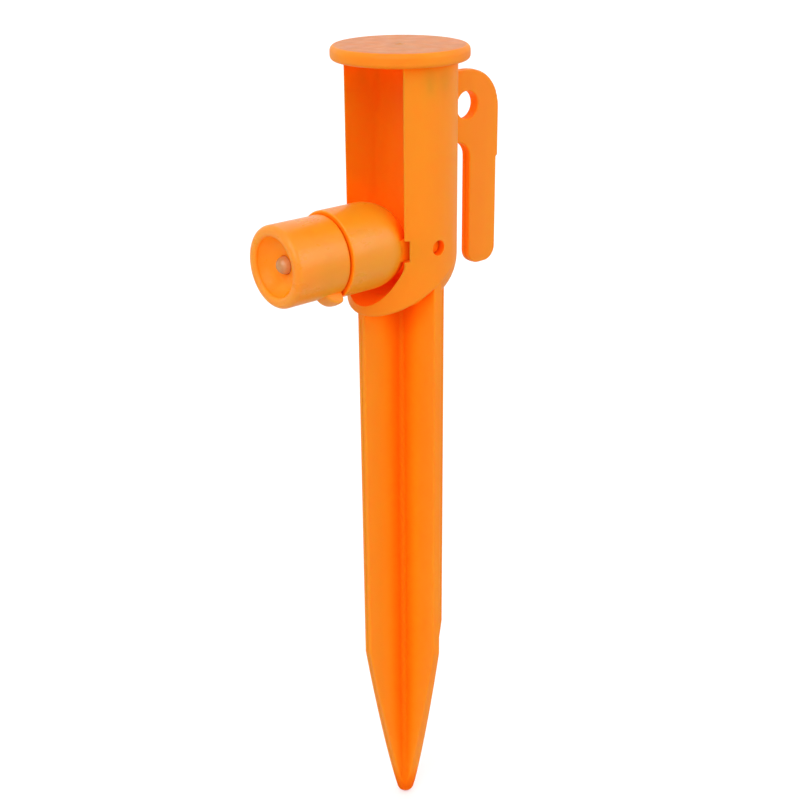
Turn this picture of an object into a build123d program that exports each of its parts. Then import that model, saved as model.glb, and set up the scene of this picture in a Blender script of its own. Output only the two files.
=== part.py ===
from build123d import *
import os
from math import cos, radians, sin, tan

# Ground stake with a hammer cap, a line hook and a fold-out lamp barrel.
# Millimetres. The spike's tip is at the origin and the stake stands along +Z.
# The channel opens to the front (-Y), the hook is at the back (+Y), and the
# barrel swings about an axis along X.

# Overall heights
TOTAL_HEIGHT = 250.0
PIVOT_Z = 195.6
TUBE_TOP_Z = 246.0

# Strike cap
CAP_R = 19.35
CAP_TOP_ROUND = 1.5
CAP_UNDER_ROUND = 1.2
CAP_PEG_R = 0.8
CAP_PEG_LENGTH = 7.0
CAP_PEG_X = 14.2
CAP_PEG_Y = (-2.5, 2.5)
PEG_CLEARANCE = 0.03

# Channel tube, open at the front
TUBE_R = 16.0
CHANNEL_HALF_WIDTH = 12.57
CHANNEL_BACK_Y = 1.0

# Bowl under the barrel
BOWL_CENTRE_DROP = 4.6
LIP_DROP = 20.9
LIP_SLOPE = 31.0
LIP_ROUND = 0.8
WINDOW_ARC_DROP = 4.8
WINDOW_FLOOR_SLOPE = 24.0
POCKET_R = 13.0

# Spike with four fins
FIN_R = 15.85
FIN_R_AT_TAPER = 15.5
TAPER_Z = 61.5
TIP_R = 2.9
TIP_ARC = 70.0
TAPER_BULGE = 0.55
FIN_EDGE_HALF = 1.35
FIN_ROOT_HALF = 2.1
VALLEY_ROUND = 1.4
FIN_CREST_ROUND = 0.45

# Hook plate and its tongue
PLATE_THICK = 3.3
PLATE_ROOT = 1.5
PLATE_TOP_Z = 240.5
PLATE_REAR_Y = 36.9
PLATE_STEP_Z = 214.3
TONGUE_REAR_Y = 36.3
TONGUE_FRONT_Y = 25.3
TONGUE_END_Z = 182.3
TONGUE_END_R = 4.2
SLOT_TOP_Z = 219.9
PLATE_CORNER_R = 12.0
EYE_Y = 24.25
EYE_Z = 230.45
EYE_R = 4.05
PLATE_ROUND = 0.45

# Pivot
HOLE_R = 2.2
TRUNNION_R = 2.13
TRUNNION_END_X = 13.9
SNAP_GROOVE_HALF = 3.65
SNAP_GROOVE_DEPTH = 0.85
TILT_DOWN = 10.0

# Lamp barrel: distances are along its axis, forward from the pivot
BARREL_R = 12.4
BARREL_DOME_L = 14.5
BARREL_FRONT = 27.6
BARREL_BORE_R = 10.1
BARREL_BORE_BACK = 9.7
BARREL_EDGE_ROUND = 0.4
ARM_INNER_X = 9.9
ARM_OUTER_X = 11.4
ARM_HALF_HEIGHT = 3.1
ARM_BOSS_R = 2.6
ARM_BOSS_X = 12.1
SNAP_RING_L = 20.8
SNAP_RING_HALF = 0.8
SNAP_RING_R = 10.6

# Twist nose
NOSE_REAR = 28.1
NOSE_FRONT = 45.9
NOSE_REAR_R = 11.4
NOSE_FRONT_R = 11.5
NOSE_ROUND = 1.5
SPIGOT_R = 10.02
SPIGOT_BACK = 18.9
NOSE_BORE_R = 8.6
NOSE_BORE_FRONT = 38.2
MOUTH_R = 9.4
MOUTH_LIP = 1.1
DISH_R = 8.3
DISH_SAG = 1.0
DISH_FLOOR_R = 3.0
DISH_FLOOR_DEPTH = 4.3
CAM_TRACK_R = 9.4
CAM_TRACK_BACK = 33.2
CAM_TRACK_FRONT = 36.0
LUG_R = 14.2
LUG_LENGTH = 5.8
LUG_HALF_WIDTH = 2.7
LUG_ROUND = 0.7
LUG_CREST_ROUND = 1.2
LUG_CREST_AT = 0.6
LUG_REST_ANGLE = 27.0

# Rubber ring in the spigot's groove
RING_L = 24.8
RING_MAJOR_R = 9.44
RING_MINOR_R = 0.6
RING_GROOVE_HALF = 0.8

# LED and its carrier
CARRIER_TRAVEL = 0.8
CARRIER_R = 8.5
CARRIER_FRONT = 38.0
CARRIER_BACK = 33.4
CARRIER_WALL = 1.2
CARRIER_FACE = 2.0
STUD_R = 0.9
STUD_L = 35.0
KEY_WIDTH = 2.2
KEY_BACK = 28.0
KEY_OUTER_R = 8.3
LED_R = 2.5
LED_HOLE_R = 2.62
LED_FLANGE_R = 2.9
LED_FLANGE_THICK = 1.0
LED_BACK = 36.2
LED_DOME_CENTRE = 41.8
LED_CHIP_L = 40.0
LED_HOLLOW_R = 1.7
LED_HOLLOW_BELOW = 0.7
LED_HOLLOW_ABOVE = 1.2
LED_CUP_R = 1.0
LED_CUP_BELOW = 0.6
LED_CUP_ABOVE = 0.8
GROMMET_R = 4.0
LEG_HALF = 0.25
LEG_OFFSET = 1.27
BOARD_R = 7.2
BOARD_BACK = 34.2
BOARD_THICK = 1.0
RIVET_Y = 3.2
RIVET_R = 0.6
LEAF_HALF = 0.9
LEAF_THICK = 0.5
BUTTON_R = 1.6
BUTTON_THICK = 0.6
RESISTOR_HALF = 1.6
RESISTOR_Y = (-4.8, -3.2)
RESISTOR_THICK = 0.6
CONTACT_RING_THICK = 0.9
CONTACT_RING_INNER_R = 5.2
CONTACT_GAP = 0.85

# Cells and contacts
CELL_R = 5.8
CELL_HEIGHT = 5.4
CELL_COUNT = 3
CELL_BACK = 13.6
CELL_CAP_R = 4.4
CELL_CAP_RISE = 0.6
SLEEVE_R = 9.95
SLEEVE_STEP_R = 8.4
SLEEVE_BORE_R = 5.95
SLEEVE_BACK = 10.3
SLEEVE_STEP = 18.4
SLEEVE_FRONT = 30.6
SLEEVE_CORE_R = 1.2
SLEEVE_CORE_AT = 8.1
PLATE_DISC_R = 9.4
PLATE_DISC_THICK = 0.4
SPRING_R = 4.6
SPRING_WIRE_R = 0.3
SPRING_TURNS = 3
STRIP_INNER_R = 7.2
STRIP_THICK = 0.4
STRIP_WIDTH = 2.4
TOUCH = 0.05

BARREL_PLANE = Plane(origin=(0, 0, PIVOT_Z), x_dir=(1, 0, 0), z_dir=(0, -1, 0))


def save(name, shape):
    """Write one piece under its own name."""
    shape.label = name
    export_step(shape, f"parts/{name}.step")


def in_barrel(shape):
    """Carry a shape drawn along +Z from the pivot onto the barrel's axis."""
    return BARREL_PLANE.location * shape


def turned(points):
    """Revolve an outline of (radius, height) points about Z."""
    outline = Polyline(*[(r, 0, z) for r, z in points], close=True)
    return revolve(make_face(outline), Axis.Z)


def disc(radius, low, high):
    """A plain cylinder on Z between two heights."""
    standing = (Align.CENTER, Align.CENTER, Align.MIN)
    return Pos(0, 0, low) * Cylinder(radius, high - low, align=standing)


def block(x, y, z):
    """A box given by its (low, high) pairs."""
    size = [pair[1] - pair[0] for pair in (x, y, z)]
    return Pos(x[0], y[0], z[0]) * Box(*size, align=(Align.MIN, Align.MIN, Align.MIN))


def closed_face(*curves):
    """The flat face inside curves that join end to end."""
    return make_face([edge for curve in curves for edge in curve.edges()])


def edges_near(shape, kind, test):
    """Edges of one kind whose middle point passes a test."""
    return [e for e in shape.edges().filter_by(kind) if test(e @ 0.5)]


# ---------------------------------------------------------------- stake body


def fin_section():
    """Cross-section of the spike: four tapering fins with rounded valleys."""
    reach = FIN_R + 1.0
    section = None
    for quarter in range(4):
        fin = make_face(Polyline(
            (0, -FIN_ROOT_HALF), (reach, -FIN_EDGE_HALF), (reach, FIN_EDGE_HALF),
            (0, FIN_ROOT_HALF), close=True))
        fin = Rot(0, 0, 90 * quarter) * fin
        section = fin if section is None else section + fin
    section = section.clean()
    valleys = [v for v in section.vertices() if Vector(v.X, v.Y, 0).length < FIN_R / 2]
    return fillet(valleys, VALLEY_ROUND)


def tip_point(angle):
    """A point on the spike's ball tip, counted in degrees from the very end."""
    return (TIP_R * sin(radians(angle)), 0, TIP_R * (1 - cos(radians(angle))))


def spike_envelope():
    """Turned envelope of the fins: round tip, slightly bulging taper, straight shank."""
    tip = tip_point(TIP_ARC)
    middle = ((tip[0] + FIN_R_AT_TAPER) / 2 + TAPER_BULGE, 0, (tip[2] + TAPER_Z) / 2)
    shoulder = (FIN_R_AT_TAPER, 0, TAPER_Z)
    outline = closed_face(
        ThreePointArc((0, 0, 0), tip_point(TIP_ARC / 2), tip),
        ThreePointArc(tip, middle, shoulder),
        Polyline(shoulder, (FIN_R, 0, PIVOT_Z), (0, 0, PIVOT_Z), (0, 0, 0)))
    return revolve(outline, Axis.Z)


def tube_and_bowl():
    """Outer form of the channel tube with its rounded bowl and the low front lip."""
    waist = PIVOT_Z - BOWL_CENTRE_DROP
    skirt = disc(TUBE_R, PIVOT_Z - LIP_DROP - 8, waist + 6)
    slab = Box(4 * TUBE_R, 6 * TUBE_R, 40, align=(Align.CENTER, Align.CENTER, Align.MAX))
    skirt -= Pos(0, -TUBE_R, PIVOT_Z - LIP_DROP) * Rot(LIP_SLOPE, 0, 0) * slab
    skirt = fillet(edges_near(skirt, GeomType.ELLIPSE, lambda p: p.Z < PIVOT_Z), LIP_ROUND)
    bowl = Pos(0, 0, waist) * Sphere(TUBE_R)
    return disc(TUBE_R, waist, TUBE_TOP_Z) + bowl + skirt


def slot_outline(low):
    """Front view of the opening: straight sides and a half-round foot."""
    r = CHANNEL_HALF_WIDTH
    high = TOTAL_HEIGHT + 10
    return closed_face(
        ThreePointArc((-r, 0, low), (0, 0, low - r), (r, 0, low)),
        Polyline((r, 0, low), (r, 0, high), (-r, 0, high), (-r, 0, low)))


def channel_cavity():
    """Everything that the barrel sweeps: the channel, the pocket and the lip's window."""
    side = CHANNEL_HALF_WIDTH
    sides = block((-side, side), (-30, 30), (PIVOT_Z - 40, TOTAL_HEIGHT))
    above = Pos(0, CHANNEL_BACK_Y, 0) * disc(side, PIVOT_Z, TOTAL_HEIGHT)
    above += block((-side, side), (-30, CHANNEL_BACK_Y), (PIVOT_Z, TOTAL_HEIGHT))
    pocket = Pos(0, CHANNEL_BACK_Y / 2, PIVOT_Z) * Sphere(POCKET_R)
    cavity = above + pocket
    for tilt in (0, TILT_DOWN):
        cavity += Pos(0, 0, PIVOT_Z) * Rot(90 + tilt, 0, 0) * disc(POCKET_R - 0.1, 0, 2 * TUBE_R)
    window = Pos(0, -TUBE_R, PIVOT_Z - WINDOW_ARC_DROP) * slot_outline(0)
    along = Vector(0, TUBE_R, TUBE_R * tan(radians(WINDOW_FLOOR_SLOPE)))
    cavity += extrude(window, TUBE_R, dir=along) + extrude(window, TUBE_R / 2, dir=-along)
    return cavity & sides


def quarter_arc(centre_y, centre_z, radius, start):
    """A quarter circle in the plane of the hook plate, counted from +Y towards +Z."""
    turns = [radians(start), radians(start + 45), radians(start + 90)]
    return ThreePointArc(*[(0, centre_y + radius * cos(t), centre_z + radius * sin(t)) for t in turns])


def hook_plate():
    """Flat plate behind the tube with the cord eye and the downward tongue."""
    corner = PLATE_CORNER_R
    root = TUBE_R - PLATE_ROOT
    slot_r = (TONGUE_FRONT_Y - TUBE_R) / 2
    slot_y = (TONGUE_FRONT_Y + TUBE_R) / 2
    end_r = TONGUE_END_R
    end_z = TONGUE_END_Z + end_r
    step = PLATE_REAR_Y - TONGUE_REAR_Y
    outline = closed_face(
        Polyline((0, slot_y, SLOT_TOP_Z), (0, root, SLOT_TOP_Z), (0, root, PLATE_TOP_Z),
                 (0, PLATE_REAR_Y - corner, PLATE_TOP_Z)),
        quarter_arc(PLATE_REAR_Y - corner, PLATE_TOP_Z - corner, corner, 0),
        Polyline((0, PLATE_REAR_Y, PLATE_TOP_Z - corner), (0, PLATE_REAR_Y, PLATE_STEP_Z),
                 (0, TONGUE_REAR_Y, PLATE_STEP_Z - step), (0, TONGUE_REAR_Y, end_z)),
        quarter_arc(TONGUE_REAR_Y - end_r, end_z, end_r, -90),
        Line((0, TONGUE_REAR_Y - end_r, TONGUE_END_Z), (0, TONGUE_FRONT_Y + end_r, TONGUE_END_Z)),
        quarter_arc(TONGUE_FRONT_Y + end_r, end_z, end_r, -180),
        Line((0, TONGUE_FRONT_Y, end_z), (0, TONGUE_FRONT_Y, SLOT_TOP_Z - slot_r)),
        quarter_arc(slot_y, SLOT_TOP_Z - slot_r, slot_r, 0))
    half = PLATE_THICK / 2
    plate = extrude(outline, half, both=True, dir=(1, 0, 0))
    plate -= Pos(0, EYE_Y, EYE_Z) * Rot(0, 90, 0) * Cylinder(EYE_R, 2 * PLATE_THICK)
    rim = [e for e in plate.edges() if abs(abs((e @ 0.5).X) - half) < 1e-6
           and abs((e @ 0).X - (e @ 1).X) < 1e-6 and (e @ 0.5).Y > root + 0.1]
    return fillet(rim, PLATE_ROUND)


def snap_groove(side):
    """Wedge-shaped lead-in on the inside of a cheek, from its front edge to the hole."""
    wedge = make_face(Polyline(
        (0, -TUBE_R, -SNAP_GROOVE_HALF), (0, -TUBE_R, SNAP_GROOVE_HALF),
        (0, 0, HOLE_R), (0, 0, -HOLE_R), close=True))
    depth = CHANNEL_HALF_WIDTH + SNAP_GROOVE_DEPTH
    cut = extrude(wedge, depth, dir=(side, 0, 0))
    return Pos(0, 0, PIVOT_Z) * cut


def cap_pegs(radius, low):
    """The four pegs that hold the cap, or the holes for them."""
    pegs = [Pos(side * CAP_PEG_X, y, 0) * disc(radius, low, TUBE_TOP_Z + 1)
            for side in (-1, 1) for y in CAP_PEG_Y]
    return pegs[0] + pegs[1] + pegs[2] + pegs[3]


def stake_body():
    """Spike, channel, bowl and hook: one moulding."""
    spike = spike_envelope() & extrude(fin_section(), PIVOT_Z)
    crests = [e for e in spike.edges().filter_by(GeomType.BSPLINE) if e.length > TUBE_R]
    spike = fillet(crests, FIN_CREST_ROUND)
    body = spike + tube_and_bowl() + hook_plate()
    body -= channel_cavity()
    body -= Pos(0, 0, PIVOT_Z) * Rot(0, 90, 0) * Cylinder(HOLE_R, 4 * TUBE_R)
    body -= snap_groove(-1) + snap_groove(1)
    return body - cap_pegs(CAP_PEG_R + PEG_CLEARANCE, TUBE_TOP_Z - CAP_PEG_LENGTH - 10 * PEG_CLEARANCE)


def strike_cap():
    """Round head with a rolled rim and four pegs into the tube's thick side walls."""
    head = disc(CAP_R, TUBE_TOP_Z, TOTAL_HEIGHT)
    top = edges_near(head, GeomType.CIRCLE, lambda p: p.Z > TOTAL_HEIGHT - 0.1)
    head = fillet(top, CAP_TOP_ROUND)
    under = edges_near(head, GeomType.CIRCLE, lambda p: p.Z < TUBE_TOP_Z + 0.1)
    head = fillet(under, CAP_UNDER_ROUND)
    return head + cap_pegs(CAP_PEG_R, TUBE_TOP_Z - CAP_PEG_LENGTH)


# --------------------------------------------------------------- lamp barrel


def barrel_housing():
    """Barrel shell with a domed rear end, and two arms back to the trunnions."""
    dome = Pos(0, 0, BARREL_DOME_L) * Sphere(BARREL_R)
    shell = disc(BARREL_R, BARREL_DOME_L, BARREL_FRONT) + dome
    shell = fillet(edges_near(shell, GeomType.CIRCLE, lambda p: p.Z > BARREL_FRONT - 0.1),
                   BARREL_EDGE_ROUND)
    half = ARM_HALF_HEIGHT
    arm = block((-ARM_OUTER_X, ARM_OUTER_X), (-half, half), (0, BARREL_DOME_L + 1))
    arm += Rot(0, 90, 0) * Cylinder(half, 2 * ARM_OUTER_X)
    arm += Rot(0, 90, 0) * Cylinder(ARM_BOSS_R, 2 * ARM_BOSS_X)
    arm -= block((-ARM_INNER_X, ARM_INNER_X), (-2 * half, 2 * half), (-2 * half, BARREL_DOME_L + 2))
    shell += arm & disc(BARREL_R, -BARREL_R, BARREL_FRONT)
    shell -= disc(BARREL_BORE_R, BARREL_BORE_BACK, BARREL_FRONT + 1)
    clear = SNAP_RING_HALF + 0.1
    shell -= disc(SNAP_RING_R + 0.1, SNAP_RING_L - clear, SNAP_RING_L + clear)
    for side in (-1, 1):
        pin = Rot(0, 90 * side, 0) * disc(TRUNNION_R, ARM_INNER_X + 0.5, TRUNNION_END_X)
        end = edges_near(pin, GeomType.CIRCLE, lambda p: abs(p.X) > TRUNNION_END_X - 0.1)
        shell += chamfer(end, BARREL_EDGE_ROUND)
    return shell


def dish():
    """Bowl of the lamp's dish with its rounded mouth, and the LED's hole behind it."""
    front = NOSE_FRONT + 1
    back = NOSE_BORE_FRONT - 1
    edge = NOSE_FRONT - MOUTH_LIP
    floor = NOSE_FRONT - DISH_FLOOR_DEPTH
    middle = ((DISH_FLOOR_R + DISH_R + DISH_SAG) / 2, 0, (floor + edge - 1.6 * DISH_SAG) / 2)
    lip_bend = ((DISH_R + MOUTH_R) / 2 - MOUTH_LIP / 5, 0, (edge + NOSE_FRONT) / 2 + MOUTH_LIP / 5)
    outline = closed_face(
        ThreePointArc((DISH_FLOOR_R, 0, floor), middle, (DISH_R, 0, edge)),
        ThreePointArc((DISH_R, 0, edge), lip_bend, (MOUTH_R, 0, NOSE_FRONT)),
        Polyline((MOUTH_R, 0, NOSE_FRONT), (MOUTH_R, 0, front), (0, 0, front), (0, 0, back),
                 (LED_HOLE_R, 0, back), (LED_HOLE_R, 0, floor), (DISH_FLOOR_R, 0, floor)))
    return revolve(outline, Axis.Z)


def twist_nose():
    """Front sleeve with the lamp's dish, a thumb lug, and a spigot with snap ring and groove."""
    nose = turned([
        (0, NOSE_REAR), (NOSE_REAR_R, NOSE_REAR), (NOSE_FRONT_R, NOSE_FRONT), (0, NOSE_FRONT)])
    front = edges_near(nose, GeomType.CIRCLE, lambda p: p.Z > NOSE_FRONT - 0.1)
    nose = fillet(front, NOSE_ROUND)
    rear = edges_near(nose, GeomType.CIRCLE, lambda p: p.Z < NOSE_REAR + 0.1)
    nose = fillet(rear, BARREL_EDGE_ROUND)
    nose += disc(SPIGOT_R, SPIGOT_BACK, NOSE_REAR + 1)
    nose += disc(SNAP_RING_R, SNAP_RING_L - SNAP_RING_HALF, SNAP_RING_L + SNAP_RING_HALF)
    nose += Rot(0, 0, LUG_REST_ANGLE) * thumb_lug()
    nose -= disc(NOSE_BORE_R, SPIGOT_BACK - 1, NOSE_BORE_FRONT)
    nose -= disc(CAM_TRACK_R, CAM_TRACK_BACK, CAM_TRACK_FRONT)
    nose -= dish()
    low, high = RING_L - RING_GROOVE_HALF, RING_L + RING_GROOVE_HALF
    return nose - (disc(SPIGOT_R + 1, low, high) - disc(RING_MAJOR_R - RING_MINOR_R - 0.02, low, high))


def thumb_lug():
    """Rounded rib at the nose's rear end, below the nose before it is turned."""
    rear = NOSE_REAR + 0.1
    front = rear + LUG_LENGTH
    crest = LUG_CREST_ROUND
    root = NOSE_REAR_R - 1.3
    foot = root + LUG_ROUND
    corner = crest * (1 - cos(radians(45)))
    outline = closed_face(
        Line((root, 0, rear), (LUG_R - crest, 0, rear)),
        ThreePointArc((LUG_R - crest, 0, rear), (LUG_R - corner, 0, rear + corner),
                      (LUG_R, 0, rear + crest)),
        ThreePointArc((LUG_R, 0, rear + crest), (LUG_R - crest / 2, 0, rear + LUG_CREST_AT * LUG_LENGTH),
                      (foot, 0, front)),
        Polyline((foot, 0, front), (root, 0, front), (root, 0, rear)))
    half = LUG_HALF_WIDTH
    wedge = block((-half, half), (-2 * LUG_R, 0), (rear - 1, front + 1))
    rib = revolve(outline, Axis.Z) & wedge
    sides = rib.edges().filter_by(
        lambda e: abs(abs((e @ 0.5).X) - half) < 1e-3 and -(e @ 0.5).Y > LUG_R - 1.0)
    return fillet(sides, LUG_ROUND)


def nose_o_ring():
    return Pos(0, 0, RING_L) * Torus(RING_MAJOR_R, RING_MINOR_R)


def led_carrier():
    """Cup that holds the LED and its board, with two cam studs and two anti-turn keys."""
    cup = disc(CARRIER_R, CARRIER_BACK, CARRIER_FRONT)
    cup -= disc(CARRIER_R - CARRIER_WALL, CARRIER_BACK, CARRIER_FRONT - CARRIER_FACE)
    cup -= disc(GROMMET_R, CARRIER_FRONT - CARRIER_FACE, CARRIER_FRONT)
    root = CARRIER_BACK + 0.5
    half = KEY_WIDTH / 2
    ring = disc(KEY_OUTER_R, KEY_BACK, root) - disc(BOARD_R + TOUCH, KEY_BACK, root)
    cup += ring & block((-CARRIER_R, CARRIER_R), (-half, half), (KEY_BACK, root))
    for turn in (45, 225):
        stud = disc(STUD_R, CARRIER_R - 0.8, CAM_TRACK_R - 0.15)
        cup += Rot(0, 0, turn) * Pos(0, 0, STUD_L) * Rot(0, 90, 0) * stud
    return cup


def led_grommet():
    """Soft ring that grips the LED's flange inside its carrier."""
    low = CARRIER_FRONT - CARRIER_FACE + TOUCH
    ring = disc(GROMMET_R - 0.02, low, CARRIER_FRONT - TOUCH)
    ring -= disc(LED_R + 0.03, low, CARRIER_FRONT)
    return ring - disc(LED_FLANGE_R + 0.03, low, LED_BACK + LED_FLANGE_THICK + TOUCH)


def leg_bar(side, half, low, high):
    """A square bar on one of the LED's two leg lines."""
    x = side * LEG_OFFSET
    return block((x - half, x + half), (-half, half), (low, high))


def led_dome():
    """Clear 5 mm LED body: flange, barrel and dome, hollowed for its legs and chip cup."""
    body = disc(LED_R, LED_BACK, LED_DOME_CENTRE) + Pos(0, 0, LED_DOME_CENTRE) * Sphere(LED_R)
    body += disc(LED_FLANGE_R, LED_BACK, LED_BACK + LED_FLANGE_THICK)
    for side in (-1, 1):
        body -= leg_bar(side, LEG_HALF + 0.01, LED_BACK - 1, LED_CHIP_L + 0.1)
    return body - disc(LED_HOLLOW_R, LED_CHIP_L - LED_HOLLOW_BELOW, LED_CHIP_L + LED_HOLLOW_ABOVE)


def led_leg(side):
    """One square leg; the cathode's leg carries the reflector cup for the chip."""
    leg = leg_bar(side, LEG_HALF, BOARD_BACK, LED_CHIP_L)
    if side > 0:
        return leg
    low = LED_CHIP_L - LED_CUP_BELOW
    high = LED_CHIP_L + LED_CUP_ABOVE
    cup = disc(LED_CUP_R, low, high)
    cup -= Pos(0, 0, high - LED_CUP_ABOVE / 2) * Cone(LED_CUP_R / 2, 0.8 * LED_CUP_R, LED_CUP_ABOVE + 0.1)
    link = block((-LEG_OFFSET, 0), (-LEG_HALF, LEG_HALF), (low, LED_CHIP_L - LED_CUP_BELOW / 3))
    return leg + cup + link


def led_board():
    """Round board with leg holes and a hole for the centre contact's rivet."""
    low, high = BOARD_BACK - 1, BOARD_BACK + BOARD_THICK + 1
    board = disc(BOARD_R, BOARD_BACK, BOARD_BACK + BOARD_THICK)
    for side in (-1, 1):
        board -= leg_bar(side, LEG_HALF + 0.02, low, high)
    return board - Pos(0, RIVET_Y, 0) * disc(RIVET_R + 0.02, low, high)


def board_resistor():
    low = BOARD_BACK + BOARD_THICK
    chip = block((-RESISTOR_HALF, RESISTOR_HALF), RESISTOR_Y, (low, low + RESISTOR_THICK))
    return fillet(chip.edges().filter_by(Axis.Z), RESISTOR_THICK / 3)


def centre_contact():
    """Leaf under the board: a rivet off centre and a button on the cells' axis."""
    button = CELL_BACK + CELL_COUNT * CELL_HEIGHT + CONTACT_GAP
    leaf_back = BOARD_BACK - LEAF_THICK
    rivet = Pos(0, RIVET_Y, 0) * disc(RIVET_R, leaf_back, BOARD_BACK + BOARD_THICK + RIVET_R / 2)
    leaf = block((-LEAF_HALF, LEAF_HALF), (-LEAF_HALF - 0.5, RIVET_Y + 1), (leaf_back, BOARD_BACK))
    for side in (-1, 1):
        leaf -= leg_bar(side, LEG_HALF + 0.1, BOARD_BACK - 1, BOARD_BACK + 1)
    stem = disc(LEAF_HALF, button + BUTTON_THICK / 2, BOARD_BACK)
    return leaf + rivet + stem + disc(BUTTON_R, button, button + BUTTON_THICK)


def contact_ring():
    """Brass ring on the board's rear face that meets the return strip."""
    low = BOARD_BACK - CONTACT_RING_THICK
    return disc(BOARD_R - TOUCH, low, BOARD_BACK) - disc(CONTACT_RING_INNER_R, low, BOARD_BACK)


def cell_sleeve():
    """Insert that centres the cells, with cored holes, a strip slot and key slots."""
    sleeve = disc(SLEEVE_R, SLEEVE_BACK, SLEEVE_STEP) + disc(SLEEVE_STEP_R, SLEEVE_STEP, SLEEVE_FRONT)
    sleeve -= disc(SLEEVE_BORE_R, SLEEVE_BACK, SLEEVE_FRONT)
    for turn in (30, 150, 210, 270, 330):
        core = disc(SLEEVE_CORE_R, SLEEVE_BACK, SLEEVE_STEP - 1.2)
        sleeve -= Rot(0, 0, turn) * Pos(SLEEVE_CORE_AT, 0, 0) * core
    half = KEY_WIDTH / 2 + 0.1
    slot_back = KEY_BACK - CARRIER_TRAVEL - 0.3
    sleeve -= block((-SLEEVE_R, SLEEVE_R), (-half, half), (slot_back, SLEEVE_FRONT))
    half = STRIP_WIDTH / 2 + 0.1
    low, high = STRIP_INNER_R - 0.1, STRIP_INNER_R + STRIP_THICK + 0.1
    return sleeve - block((-half, half), (low, high), (SLEEVE_BACK, SLEEVE_FRONT))


def button_cell(index):
    """Button cell: can, recessed seal groove and raised cap."""
    low = CELL_BACK + index * CELL_HEIGHT
    top = low + CELL_HEIGHT
    rim = top - CELL_CAP_RISE
    return turned([
        (0, low), (CELL_R - 0.4, low), (CELL_R, low + 0.4), (CELL_R, rim - 0.3), (CELL_R - 0.3, rim),
        (CELL_CAP_R + 0.5, rim), (CELL_CAP_R + 0.4, rim - 0.3), (CELL_CAP_R + 0.1, rim - 0.3),
        (CELL_CAP_R, top - 0.2), (CELL_CAP_R - 0.2, top), (0, top)])


def rear_spring():
    """Cone spring between the rear contact plate and the cells."""
    low = BARREL_BORE_BACK + PLATE_DISC_THICK + 2 * TOUCH + SPRING_WIRE_R
    height = CELL_BACK - TOUCH - SPRING_WIRE_R - low
    path = Helix(height / SPRING_TURNS, height, SPRING_R, cone_angle=-25)
    wire = Plane(origin=path @ 0, z_dir=path % 0) * Circle(SPRING_WIRE_R)
    return Pos(0, 0, low) * sweep(wire, path=path, is_frenet=True)


def rear_contact_plate():
    low = BARREL_BORE_BACK + TOUCH
    return disc(PLATE_DISC_R, low, low + PLATE_DISC_THICK)


def return_strip():
    """Straight strip from the rear plate to just short of the board's ring."""
    low = BARREL_BORE_BACK + TOUCH + PLATE_DISC_THICK
    high = BOARD_BACK - CONTACT_RING_THICK - CONTACT_GAP
    half = STRIP_WIDTH / 2
    return block((-half, half), (STRIP_INNER_R, STRIP_INNER_R + STRIP_THICK), (low, high))


os.makedirs("parts", exist_ok=True)
save("stake_body", stake_body())
save("strike_cap", strike_cap())
save("barrel_housing", in_barrel(barrel_housing()))
save("twist_nose", in_barrel(twist_nose()))
save("nose_o_ring", in_barrel(nose_o_ring()))
save("led_carrier", in_barrel(led_carrier()))
save("led_grommet", in_barrel(led_grommet()))
save("led_dome", in_barrel(led_dome()))
save("led_anode_leg", in_barrel(led_leg(1)))
save("led_cathode_leg", in_barrel(led_leg(-1)))
save("led_board", in_barrel(led_board()))
save("board_resistor", in_barrel(board_resistor()))
save("centre_contact", in_barrel(centre_contact()))
save("contact_ring", in_barrel(contact_ring()))
save("cell_sleeve", in_barrel(cell_sleeve()))
for number in range(CELL_COUNT):
    save(f"button_cell_{number + 1}", in_barrel(button_cell(number)))
save("rear_spring", in_barrel(rear_spring()))
save("rear_contact_plate", in_barrel(rear_contact_plate()))
save("return_strip", in_barrel(return_strip()))
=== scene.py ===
"""An orange ground stake with a fold-out lamp: moulded skins, materials, lamp details, studio."""
import math
import random

import bmesh
import bpy
from mathutils import Matrix, Vector


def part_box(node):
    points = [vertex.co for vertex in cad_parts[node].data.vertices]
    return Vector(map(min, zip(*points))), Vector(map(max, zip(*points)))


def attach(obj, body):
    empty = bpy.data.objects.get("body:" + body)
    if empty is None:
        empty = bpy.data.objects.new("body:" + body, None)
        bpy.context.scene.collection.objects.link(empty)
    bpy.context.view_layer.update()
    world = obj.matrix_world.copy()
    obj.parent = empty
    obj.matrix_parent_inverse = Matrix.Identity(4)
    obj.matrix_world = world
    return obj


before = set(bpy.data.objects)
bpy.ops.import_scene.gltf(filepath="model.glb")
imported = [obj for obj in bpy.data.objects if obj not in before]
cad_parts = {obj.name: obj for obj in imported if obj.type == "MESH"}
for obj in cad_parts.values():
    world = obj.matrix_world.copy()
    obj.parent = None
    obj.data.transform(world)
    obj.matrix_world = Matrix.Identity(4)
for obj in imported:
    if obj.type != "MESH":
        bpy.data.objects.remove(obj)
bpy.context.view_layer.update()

MM = 0.001
CAP_NODE = "strike_cap"

# Camera, from the stake's axis
CAMERA_AZIMUTH = 49.02
CAMERA_DISTANCE = 0.3829
CAMERA_HEIGHT = 0.3035
CAMERA_PITCH = 22.55
CAMERA_YAW = 0.12
CAMERA_ROLL = 0.47
CAMERA_LENS = 61.58

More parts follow.
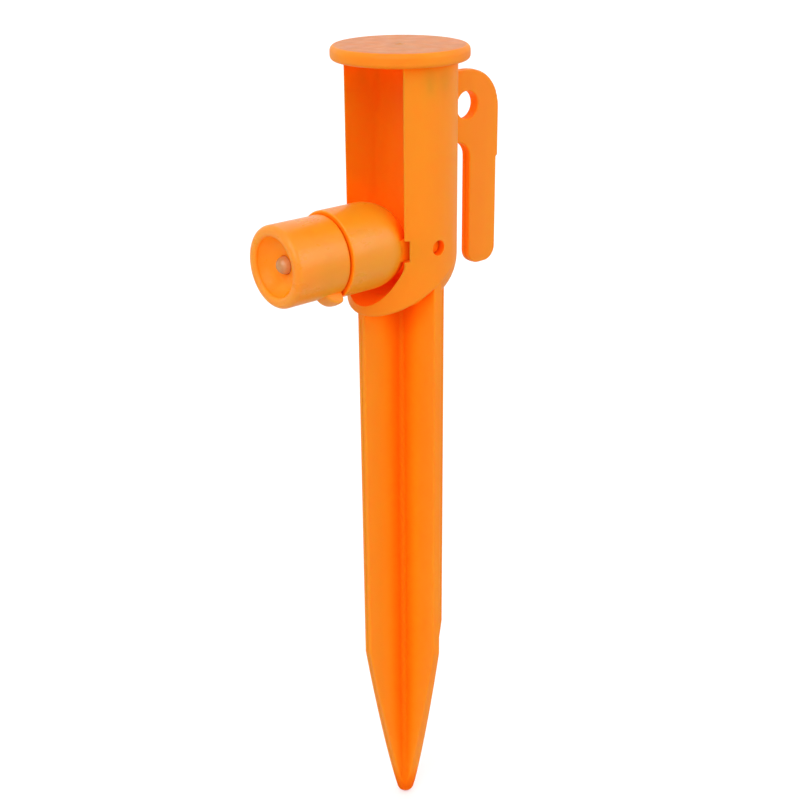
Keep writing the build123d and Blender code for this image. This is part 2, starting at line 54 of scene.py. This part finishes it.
# Linear colours
STAKE_ORANGE = ((0.985, 0.285, 0.006), (0.98, 0.255, 0.004))
# Painted light: the lamp's orange is the stake's plastic painted a little lighter and yellower for the
# brighter light on the lamp
LAMP_ORANGE_PAINTED_LIGHTER = ((0.985, 0.325, 0.012), (0.98, 0.29, 0.008))
# Painted shade: deep red-orange painted into hollows, creases and under parts where shade falls
HOLLOW_PAINTED_SHADE = (0.985, 0.138, 0.001)
# Lighter, yellower edges: partly wear, partly a painted highlight on rounded edges
WORN_AND_HIGHLIT_EDGE_ORANGE = (1.0, 0.36, 0.03)
# Painted shade with a painted pinkish sheen for the cap's top face
TOP_PAINTED_SHADE_SHEEN = (0.65, 0.23, 0.085)
# Painted light: a red glow from emission on half-shut walls, though the plastic is no lamp
PAINTED_WALL_GLOW = (1.0, 0.13, 0.001)
PAINTED_WALL_GLOW_STRENGTH = 0.22
# Painted reflection: the orange of the dish around the LED painted into its resin
RESIN_PAINTED_REFLECTION = (0.90, 0.46, 0.18)
RESIN_PAINTED_REFLECTION_DEEP = (0.80, 0.36, 0.11)
FLOOR_WHITE = (0.62, 0.62, 0.618)
FLOOR_GLOW = 0.45

# Studio, with directions as compass angles round the stake from its front towards +X
SKY_FRONT = 0.66
SKY_BACK = 1.0
KEY_LIGHT = (30.0, 40.0, 1.35, 55.0)
SIDE_LIGHT = (128.0, 20.0, 0.5, 36.0)

# How far a wall shades a hollow, and the spike's core where the valleys' floors lie in shade
HOLLOW_REACH = 14 * MM
SPIKE_CORE = 9 * MM
CORE_SHADE = 0.66
CORE_INNER_SHARE = 0.3

# Bands of openness, from 0 in a closed hollow to 1 on a free face, over which each effect changes
HOLLOW_PAINTED_SHADE_BAND = (0.42, 0.76)
WEAR_AND_HIGHLIGHT_BAND = (0.8, 1.0)
SHINE_BAND = (0.6, 1.0)
GLOW_SHALLOW_BAND = (0.65, 0.85)
GLOW_DEEP_BAND = (0.15, 0.5)
HOLLOW_GLOSS = 0.02

# Edge wear and a painted edge highlight, as the cosine between the rounded and the true normal, and how
# much the lightening covers them
EDGE_ROUNDING = 0.4 * MM
EDGE_LEAN_BAND = (0.999, 0.86)
EDGE_COVER = 0.5
# How closely a face must look up to take the painted top shade and sheen
TOP_PAINTED_FACE_BAND = (0.93, 0.995)

# Relief of the moulded skin as (noise scale, detail, height, strength)
SINK_RELIEF = (75, 2, 0.06 * MM, 0.5)
SCUFF_RELIEF = (900, 3, 0.003 * MM, 0.3)
SKIN_RELIEF = (2600, 2, 0.003 * MM, 0.4)
SCUFF_STRETCH = (1, 1, 0.05)
NOISE_MIDDLE = (0.35, 0.65)

# Light inside the plastic
PLASTIC_SCATTER = 0.5
PLASTIC_SCATTER_RADIUS = (1.0, 0.16, 0.03)
PLASTIC_SCATTER_DEPTH = 6 * MM
PLASTIC_IOR = 1.45

# Sockets of Blender's colour mix node
MIX_FIRST = 6
MIX_SECOND = 7
MIX_RESULT = 2
# Placeholder for a colour that another node is joined to
JOINED = (0, 0, 0)

# Small relief, and where the mould line stops at the tube's open front
FLASH_RADIUS = 0.09 * MM
FLASH_MIN_POINTS = 8
TUBE_BACK_INSET = 1.0 * MM
LIP_DROP = 21.2 * MM
CAP_CLEARANCE = 0.5 * MM
GATE_RADIUS = 1.5 * MM
GATE_HEIGHT = 0.15 * MM

# Inside the LED
CUP_DEPTH = 0.75 * MM
CHIP_SIDE = 0.45 * MM
CHIP_THICK = 0.2 * MM
WIRE_RADIUS = 0.04 * MM
WIRE_RISE = 0.5 * MM

# Studio card, a hair below the spike's tip
FLOOR_HALF = 12.0
FLOOR_DROP = 0.3 * MM
SKY_TURN_BAND = (-0.6, 0.9)


# ------------------------------------------------------------ node helpers


class Graph:
    """A material's node tree with short calls to add nodes and join them."""

    def __init__(self, name):
        self.material = bpy.data.materials.new(name)
        self.material.use_nodes = True
        self.tree = self.material.node_tree
        self.tree.nodes.clear()
        self.output = self.add("ShaderNodeOutputMaterial")
        self.surface = self.add("ShaderNodeBsdfPrincipled")
        self.join(self.surface, "BSDF", self.output, "Surface")

    def add(self, kind, **values):
        """Add a node and set its properties by name."""
        node = self.tree.nodes.new(kind)
        for key, value in values.items():
            setattr(node, key, value)
        return node

    def join(self, source, output, target, socket):
        """Link one node's output to another's input."""
        self.tree.links.new(source.outputs[output], target.inputs[socket])

    def noise(self, scale, detail=3.0, stretch=(1, 1, 1), roughness=0.5):
        """Noise in metres of the object's own space; stretch squeezes it along an axis."""
        place = self.add("ShaderNodeTexCoord")
        mapping = self.add("ShaderNodeMapping")
        mapping.inputs["Scale"].default_value = stretch
        texture = self.add("ShaderNodeTexNoise")
        texture.inputs["Scale"].default_value = scale
        texture.inputs["Detail"].default_value = detail
        texture.inputs["Roughness"].default_value = roughness
        self.join(place, "Object", mapping, "Vector")
        self.join(mapping, "Vector", texture, "Vector")
        return texture

    def remap(self, node, output, old, new):
        """Map one output's (low, high) range to another, held at both ends."""
        ramp = self.add("ShaderNodeMapRange")
        for socket, value in zip(("From Min", "From Max", "To Min", "To Max"), (*old, *new)):
            ramp.inputs[socket].default_value = value
        self.join(node, output, ramp, "Value")
        return ramp

    def spread(self, texture, low, high):
        """Map a noise's middle band to a range of values."""
        return self.remap(texture, "Fac", NOISE_MIDDLE, (low, high))

    def product(self, first, second):
        """Two values multiplied."""
        node = self.add("ShaderNodeMath", operation="MULTIPLY")
        self.tree.links.new(first.outputs[0], node.inputs[0])
        self.tree.links.new(second.outputs[0], node.inputs[1])
        return node

    def openness(self, reach, core):
        """Openness from 0 to 1, shaded near the Z axis, and a mask that is 1 outside that core."""
        node = self.add("ShaderNodeAmbientOcclusion", samples=8)
        node.inputs["Distance"].default_value = reach
        place = self.add("ShaderNodeTexCoord")
        flat = self.add("ShaderNodeVectorMath", operation="MULTIPLY")
        flat.inputs[1].default_value = (1, 1, 0)
        radius = self.add("ShaderNodeVectorMath", operation="LENGTH")
        self.join(place, "Object", flat, 0)
        self.join(flat, "Vector", radius, 0)
        open_way = self.remap(node, "AO", (0, 1), (0, 1))
        core_band = (CORE_INNER_SHARE * core, core)
        shade = self.remap(radius, "Value", core_band, (CORE_SHADE, 1))
        outside = self.remap(radius, "Value", core_band, (0, 1))
        return self.product(open_way, shade), outside

    def mix(self, factor, first, second):
        """Blend two colours by a value node."""
        node = self.add("ShaderNodeMix", data_type="RGBA")
        node.inputs[MIX_FIRST].default_value = (*first, 1)
        node.inputs[MIX_SECOND].default_value = (*second, 1)
        self.tree.links.new(factor.outputs[0], node.inputs[0])
        return node

    def bump(self, texture, distance, strength=1.0, below=None):
        """Surface relief from a noise, stacked on the relief or rounding below it."""
        node = self.add("ShaderNodeBump")
        node.inputs["Distance"].default_value = distance
        node.inputs["Strength"].default_value = strength
        self.join(texture, "Fac", node, "Height")
        if below is not None:
            self.join(below, "Normal", node, "Normal")
        return node

    def relief(self, kind, below, stretch=(1, 1, 1)):
        """Relief from one of the (noise scale, detail, height, strength) settings."""
        scale, detail, height, strength = kind
        return self.bump(self.noise(scale, detail, stretch), height, strength, below)

    def edge_mask(self, rounding):
        """How far the rounded normal leans from the true one, broken up by noise, and 0 on flats."""
        geometry = self.add("ShaderNodeNewGeometry")
        lean = self.add("ShaderNodeVectorMath", operation="DOT_PRODUCT")
        self.join(geometry, "Normal", lean, 0)
        self.join(rounding, "Normal", lean, 1)
        edge = self.remap(lean, "Value", EDGE_LEAN_BAND, (0, EDGE_COVER))
        return self.product(edge, self.spread(self.noise(420, 4), 0.25, 1.0))

    def top_painted_shade_mask(self):
        """Painted shade and a painted sheen on the faces that look straight up, broken up by noise: 1
        where strongest.
        """
        geometry = self.add("ShaderNodeNewGeometry")
        parts = self.add("ShaderNodeSeparateXYZ")
        self.join(geometry, "Normal", parts, "Vector")
        up = self.remap(parts, "Z", TOP_PAINTED_FACE_BAND, (0, 1))
        return self.product(up, self.spread(self.noise(180, 5), 0.75, 1.0))


def set_inputs(node, values):
    """Set a node's inputs from a table of names and values."""
    for socket, value in values.items():
        node.inputs[socket].default_value = value


# --------------------------------------------------------------- materials


def moulded_orange(name, tints, grain, roughness, gloss_level, core=MM, paint_top_shade=False):
    """Satin translucent orange: flow mottling, hollows reddened with painted shade, edges lightened by
    wear and a painted highlight, a painted red glow on half-shut walls, and, when asked, a painted darker,
    pinker top with a painted sheen.
    """
    g = Graph(name)
    flow = g.spread(g.noise(60, 4, grain), 0, 1)
    skin_tone = g.mix(flow, *tints)
    openness, outside = g.openness(HOLLOW_REACH, core)
    # Painted shade: the less open a place is, the more its colour turns to the deep red-orange of shade
    open_face = g.remap(openness, "Value", HOLLOW_PAINTED_SHADE_BAND, (0, 1))
    colour = g.mix(open_face, HOLLOW_PAINTED_SHADE, JOINED)
    g.join(skin_tone, MIX_RESULT, colour, MIX_SECOND)
    rounding = g.add("ShaderNodeBevel", samples=6)
    rounding.inputs["Radius"].default_value = EDGE_ROUNDING
    # Edges lightened, partly as wear and partly as a painted highlight, only where the surface is open
    proud = g.remap(openness, "Value", WEAR_AND_HIGHLIGHT_BAND, (0, 1))
    worn_and_highlit = g.mix(g.product(g.edge_mask(rounding), proud), JOINED, WORN_AND_HIGHLIT_EDGE_ORANGE)
    g.join(colour, MIX_RESULT, worn_and_highlit, MIX_FIRST)
    # Painted shade and sheen: the upward faces turned darker and pinker
    if paint_top_shade:
        top_shaded = g.mix(g.top_painted_shade_mask(), JOINED, TOP_PAINTED_SHADE_SHEEN)
        g.join(worn_and_highlit, MIX_RESULT, top_shaded, MIX_FIRST)
        worn_and_highlit = top_shaded
    g.join(worn_and_highlit, MIX_RESULT, g.surface, "Base Color")
    shine = g.remap(openness, "Value", SHINE_BAND, (HOLLOW_GLOSS, gloss_level))
    g.join(shine, "Result", g.surface, "Specular IOR Level")
    # Painted light: walls of half-shut hollows glow red by emission, strongest at middling openness and
    # off in the spike's core
    walled = g.remap(openness, "Value", GLOW_SHALLOW_BAND, (PAINTED_WALL_GLOW_STRENGTH, 0))
    painted_glow = g.product(walled, g.remap(openness, "Value", GLOW_DEEP_BAND, (0, 1)))
    g.join(g.product(painted_glow, outside), "Value", g.surface, "Emission Strength")
    gloss = g.spread(g.noise(260, 5, grain), roughness - 0.05, roughness + 0.07)
    g.join(gloss, "Result", g.surface, "Roughness")
    sink = g.relief(SINK_RELIEF, rounding)
    scuffs = g.relief(SCUFF_RELIEF, sink, SCUFF_STRETCH)
    skin = g.relief(SKIN_RELIEF, scuffs)
    g.join(skin, "Normal", g.surface, "Normal")
    set_inputs(g.surface, {
        "Subsurface Weight": PLASTIC_SCATTER,
        "Subsurface Radius": PLASTIC_SCATTER_RADIUS,
        "Subsurface Scale": PLASTIC_SCATTER_DEPTH,
        "Emission Color": (*PAINTED_WALL_GLOW, 1),
        "IOR": PLASTIC_IOR,
    })
    return g.material


def plain_plastic(name, light, dark, roughness):
    """Unpainted moulded plastic or board with mottling and a fine skin."""
    g = Graph(name)
    colour = g.mix(g.spread(g.noise(300, 4), 0, 1), light, dark)
    g.join(colour, MIX_RESULT, g.surface, "Base Color")
    g.surface.inputs["Roughness"].default_value = roughness
    g.join(g.bump(g.noise(3000, 2), 0.01 * MM), "Normal", g.surface, "Normal")
    return g.material


def metal(name, light, dark, roughness, stretch=(1, 1, 1)):
    """Plated or bare metal with drawn marks and uneven polish."""
    g = Graph(name)
    colour = g.mix(g.spread(g.noise(900, 5, stretch), 0, 1), light, dark)
    g.join(colour, MIX_RESULT, g.surface, "Base Color")
    g.surface.inputs["Metallic"].default_value = 1.0
    polish = g.spread(g.noise(1500, 4, stretch), roughness - 0.08, roughness + 0.12)
    g.join(polish, "Result", g.surface, "Roughness")
    g.join(g.bump(g.noise(4000, 3, stretch), 0.004 * MM), "Normal", g.surface, "Normal")
    return g.material


def clear_resin(name):
    """Clear cast resin given an orange-brown diffuse colour, a painted reflection of the orange dish
    around it, with faint swirls.
    """
    g = Graph(name)
    tint = g.mix(g.spread(g.noise(500, 2), 0, 1), RESIN_PAINTED_REFLECTION, RESIN_PAINTED_REFLECTION_DEEP)
    g.join(tint, MIX_RESULT, g.surface, "Base Color")
    set_inputs(g.surface, {"Transmission Weight": 0.35, "Roughness": 0.12, "IOR": 1.5})
    g.join(g.bump(g.noise(500, 2), 0.005 * MM), "Normal", g.surface, "Normal")
    return g.material


def floor_material():
    """Matt white card with a faint grain, lit from behind only as far as the camera sees."""
    g = Graph("studio_card")
    darker = tuple(0.99 * c for c in FLOOR_WHITE)
    colour = g.mix(g.spread(g.noise(35, 3), 0, 1), FLOOR_WHITE, darker)
    g.join(colour, MIX_RESULT, g.surface, "Base Color")
    set_inputs(g.surface, {
        "Roughness": 0.9,
        "Specular IOR Level": 0.1,
        "Emission Color": (1, 1, 0.995, 1),
    })
    glow = g.remap(g.add("ShaderNodeLightPath"), "Is Camera Ray", (0, 1), (0, FLOOR_GLOW))
    g.join(glow, "Result", g.surface, "Emission Strength")
    return g.material


def dress(node, material):
    """Give a CAD node its material."""
    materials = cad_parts[node].data.materials
    materials.clear()
    materials.append(material)


def dress_cad_nodes():
    """Dress every CAD node, and return the orange of the stake and of its cap."""
    stake = moulded_orange("orange_stake", STAKE_ORANGE, (1, 1, 0.3), 0.42, 0.28, core=SPIKE_CORE)
    cap = moulded_orange("orange_cap", STAKE_ORANGE, (1, 1, 1), 0.45, 0.3, paint_top_shade=True)
    lamp = moulded_orange("orange_lamp", LAMP_ORANGE_PAINTED_LIGHTER, (1, 0.4, 1), 0.32, 0.5)
    steel = metal("plated_steel", (0.75, 0.75, 0.76), (0.6, 0.6, 0.62), 0.25)
    brass = metal("bare_brass", (0.8, 0.58, 0.25), (0.62, 0.42, 0.16), 0.3)
    rubber = plain_plastic("black_rubber", (0.02, 0.02, 0.02), (0.035, 0.035, 0.035), 0.7)
    grommet = plain_plastic("grey_rubber", (0.2, 0.18, 0.17), (0.26, 0.24, 0.22), 0.6)
    nylon = plain_plastic("white_nylon", (0.8, 0.79, 0.75), (0.7, 0.69, 0.65), 0.45)
    black = plain_plastic("black_insert", (0.02, 0.02, 0.022), (0.04, 0.04, 0.042), 0.5)
    board = plain_plastic("green_board", (0.02, 0.16, 0.05), (0.015, 0.11, 0.035), 0.35)
    wanted = {
        "stake_body": stake, "strike_cap": cap, "barrel_housing": lamp, "twist_nose": lamp,
        "nose_o_ring": rubber, "led_grommet": grommet, "led_carrier": nylon, "led_board": board,
        "board_resistor": black, "cell_sleeve": black, "led_dome": clear_resin("led_resin"),
        "led_anode_leg": steel, "led_cathode_leg": steel, "rear_spring": steel,
        "centre_contact": brass, "contact_ring": brass,
        "rear_contact_plate": brass, "return_strip": brass,
    }
    for number in (1, 2, 3):
        wanted[f"button_cell_{number}"] = steel
    for node, material in wanted.items():
        dress(node, material)
    return stake, cap


# ------------------------------------------------------- moulded-in details


def add_piece(name, data, material, body):
    """Link a mesh or curve, give it its material and let it ride on a body."""
    piece = bpy.data.objects.new(name, data)
    bpy.context.scene.collection.objects.link(piece)
    piece.data.materials.append(material)
    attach(piece, body)
    return piece


def section_runs(node, keep):
    """Chains of points where a node's surface crosses x = 0, split where keep(y, z) is false."""
    shape = bmesh.new()
    shape.from_mesh(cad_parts[node].data)
    everything = shape.verts[:] + shape.edges[:] + shape.faces[:]
    bmesh.ops.bisect_plane(
        shape, geom=everything, plane_co=(FLASH_RADIUS / 20, 0, 0), plane_no=(1, 0, 0),
        clear_inner=True, clear_outer=True)
    bmesh.ops.remove_doubles(shape, verts=shape.verts[:], dist=FLASH_RADIUS / 20)
    loose = [v for v in shape.verts if not keep(v.co.y, v.co.z)]
    bmesh.ops.delete(shape, geom=loose, context="VERTS")
    runs = []
    seen = set()
    ends = [v for v in shape.verts if len(v.link_edges) == 1]
    for start in sorted(ends, key=lambda v: (v.co.z, v.co.y)):
        if start in seen:
            continue
        run = [start]
        seen.add(start)
        while True:
            steps = [e.other_vert(run[-1]) for e in run[-1].link_edges]
            steps = [v for v in steps if v not in seen]
            if not steps:
                break
            run.append(steps[0])
            seen.add(steps[0])
        runs.append([v.co.copy() for v in run])
    shape.free()
    return runs


def add_mould_line(material):
    """Fine flash where the two mould halves met, round the stake's outline at x = 0."""
    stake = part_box("stake_body")
    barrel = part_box("barrel_housing")
    tube_back = stake[1].x - TUBE_BACK_INSET
    lip_foot = (barrel[0].z + barrel[1].z) / 2 - LIP_DROP

    def outside(y, z):
        return (y > tube_back or z < lip_foot) and z < stake[1].z - CAP_CLEARANCE

    curve = bpy.data.curves.new("mould_line", "CURVE")
    curve.dimensions = "3D"
    curve.bevel_depth = FLASH_RADIUS
    curve.bevel_resolution = 1
    curve.use_fill_caps = True
    for run in section_runs("stake_body", outside):
        if len(run) < FLASH_MIN_POINTS:
            continue
        line = curve.splines.new("POLY")
        line.points.add(len(run) - 1)
        for point, place in zip(line.points, run):
            point.co = (0, place.y, place.z, 1)
    add_piece("mould_line", curve, material, "stake")


def turned_mesh(name, profile, segments, wobble=0.0):
    """A mesh turned about Z from (radius, height) pairs that start on the axis."""
    draw = random.Random(7)
    shape = bmesh.new()
    centre = shape.verts.new((0, 0, profile[0][1]))
    rings = []
    for radius, height in profile[1:]:
        ring = []
        for step in range(segments):
            turn = 2 * math.pi * step / segments
            r = radius * (1 + wobble * draw.uniform(-1, 1))
            ring.append(shape.verts.new((r * math.cos(turn), r * math.sin(turn), height)))
        rings.append(ring)
    for step in range(segments):
        after = (step + 1) % segments
        shape.faces.new((centre, rings[0][step], rings[0][after]))
        for inner, outer in zip(rings, rings[1:]):
            shape.faces.new((inner[step], outer[step], outer[after], inner[after]))
    shape.faces.new(list(reversed(rings[-1])))
    bmesh.ops.recalc_face_normals(shape, faces=shape.faces[:])
    mesh = bpy.data.meshes.new(name)
    shape.to_mesh(mesh)
    shape.free()
    for face in mesh.polygons:
        face.use_smooth = True
    return mesh


def add_gate_mark(material):
    """Round stub on the cap where the plastic entered the mould, with a torn centre."""
    r, h = GATE_RADIUS, GATE_HEIGHT
    profile = [
        (0, 0.9 * h), (0.16 * r, h), (0.26 * r, 0.7 * h), (0.34 * r, 0.45 * h), (0.75 * r, 0.4 * h),
        (0.84 * r, 0.45 * h), (0.93 * r, 0.32 * h), (r, 0.05 * h), (r, -h)]
    mark = add_piece("gate_mark", turned_mesh("gate_mark", profile, 48, 0.02), material, "stake")
    low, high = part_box(CAP_NODE)
    mark.location = ((low.x + high.x) / 2, (low.y + high.y) / 2, high.z)


def add_lamp_parts(wire, chip):
    """The LED's chip in its cup, and the bond wire that arches over to it from the post."""
    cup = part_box("led_cathode_leg")
    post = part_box("led_anode_leg")
    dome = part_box("led_dome")
    axis_x = (dome[0].x + dome[1].x) / 2
    axis_z = (dome[0].z + dome[1].z) / 2
    seat = cup[0].y + CUP_DEPTH
    shape = bmesh.new()
    bmesh.ops.create_cube(shape, size=1.0)
    bmesh.ops.scale(shape, vec=(CHIP_SIDE, CHIP_THICK, CHIP_SIDE), verts=shape.verts[:])
    bmesh.ops.bevel(shape, geom=shape.edges[:], offset=CHIP_THICK / 6, segments=2, affect="EDGES")
    mesh = bpy.data.meshes.new("led_chip")
    shape.to_mesh(mesh)
    shape.free()
    piece = add_piece("led_chip", mesh, chip, "carrier")
    piece.location = (axis_x, seat - CHIP_THICK / 2, axis_z)
    top_x = (post[0].x + post[1].x) / 2
    start = Vector((top_x, post[0].y - WIRE_RADIUS, axis_z))
    end = Vector((axis_x, seat - CHIP_THICK, axis_z))
    rise = Vector((0, -WIRE_RISE, 0))
    curve = bpy.data.curves.new("bond_wire", "CURVE")
    curve.dimensions = "3D"
    curve.bevel_depth = WIRE_RADIUS
    curve.bevel_resolution = 2
    curve.use_fill_caps = True
    line = curve.splines.new("BEZIER")
    line.bezier_points.add(1)
    for point, place in zip(line.bezier_points, (start, end)):
        point.co = place
        point.handle_left = place + rise
        point.handle_right = place + rise
    add_piece("bond_wire", curve, wire, "carrier")


# ------------------------------------------------------------------ studio


def add_floor():
    """Large level card under the stake."""
    mesh = bpy.data.meshes.new("floor")
    shape = bmesh.new()
    bmesh.ops.create_grid(shape, x_segments=2, y_segments=2, size=FLOOR_HALF)
    shape.to_mesh(mesh)
    shape.free()
    floor = bpy.data.objects.new("floor", mesh)
    bpy.context.scene.collection.objects.link(floor)
    floor.data.materials.append(floor_material())
    floor.location.z = -FLOOR_DROP


def add_world():
    """Studio light, dimmer behind the camera and brighter behind the stake, that looks plain white."""
    world = bpy.data.worlds.new("studio")
    world.use_nodes = True
    tree = world.node_tree
    background = tree.nodes["Background"]
    place = tree.nodes.new("ShaderNodeTexCoord")
    along = tree.nodes.new("ShaderNodeVectorMath")
    along.operation = "DOT_PRODUCT"
    azimuth = math.radians(CAMERA_AZIMUTH)
    along.inputs[1].default_value = (-math.sin(azimuth), math.cos(azimuth), 0)
    glow = tree.nodes.new("ShaderNodeMapRange")
    glow.inputs["From Min"].default_value = SKY_TURN_BAND[0]
    glow.inputs["From Max"].default_value = SKY_TURN_BAND[1]
    glow.inputs["To Min"].default_value = SKY_FRONT
    glow.inputs["To Max"].default_value = SKY_BACK
    tree.links.new(place.outputs["Generated"], along.inputs[0])
    tree.links.new(along.outputs["Value"], glow.inputs["Value"])
    path = tree.nodes.new("ShaderNodeLightPath")
    seen = tree.nodes.new("ShaderNodeMath")
    seen.operation = "MAXIMUM"
    tree.links.new(glow.outputs["Result"], seen.inputs[0])
    tree.links.new(path.outputs["Is Camera Ray"], seen.inputs[1])
    tree.links.new(seen.outputs["Value"], background.inputs["Strength"])
    background.inputs["Color"].default_value = (1, 1, 1, 1)
    bpy.context.scene.world = world


def add_sun(name, azimuth, elevation, strength, spread):
    """A wide soft light from one direction, even over the whole floor."""
    light = bpy.data.lights.new(name, "SUN")
    light.energy = strength
    light.angle = math.radians(spread)
    obj = bpy.data.objects.new(name, light)
    bpy.context.scene.collection.objects.link(obj)
    turn = math.radians(azimuth)
    rise = math.radians(elevation)
    source = Vector((math.sin(turn) * math.cos(rise), -math.cos(turn) * math.cos(rise), math.sin(rise)))
    obj.rotation_mode = "QUATERNION"
    obj.rotation_quaternion = (-source).to_track_quat("-Z", "Y")


def add_camera():
    """Camera aimed by azimuth, pitch, yaw and roll, as it stood before the stake."""
    azimuth = math.radians(CAMERA_AZIMUTH)
    aim = math.radians(CAMERA_AZIMUTH + CAMERA_YAW)
    pitch = math.radians(CAMERA_PITCH)
    roll = math.radians(CAMERA_ROLL)
    forward = Vector((-math.sin(aim) * math.cos(pitch), math.cos(aim) * math.cos(pitch), -math.sin(pitch)))
    level = Vector((math.cos(aim), math.sin(aim), 0))
    down = forward.cross(level)
    right = math.cos(roll) * level + math.sin(roll) * down
    up = -(-math.sin(roll) * level + math.cos(roll) * down)
    data = bpy.data.cameras.new("camera")
    data.lens = CAMERA_LENS
    data.sensor_width = 36
    data.clip_start = 0.01
    data.clip_end = 60
    camera = bpy.data.objects.new("camera", data)
    bpy.context.scene.collection.objects.link(camera)
    turn = Matrix((right, up, -forward)).transposed().to_4x4()
    place = (CAMERA_DISTANCE * math.sin(azimuth), -CAMERA_DISTANCE * math.cos(azimuth), CAMERA_HEIGHT)
    camera.matrix_world = Matrix.Translation(place) @ turn
    bpy.context.scene.camera = camera


def set_picture():
    """Plain display curve, so white card stays white and the orange keeps its strength."""
    view = bpy.context.scene.view_settings
    view.view_transform = "Standard"
    view.look = "None"


orange, cap_orange = dress_cad_nodes()
add_mould_line(orange)
add_gate_mark(cap_orange)
add_lamp_parts(
    metal("gold_wire", (0.9, 0.7, 0.3), (0.8, 0.6, 0.25), 0.25),
    plain_plastic("led_die", (0.9, 0.85, 0.5), (0.8, 0.75, 0.4), 0.4))
add_floor()
add_world()
add_sun("key_light", *KEY_LIGHT)
add_sun("side_light", *SIDE_LIGHT)
add_camera()
set_picture()
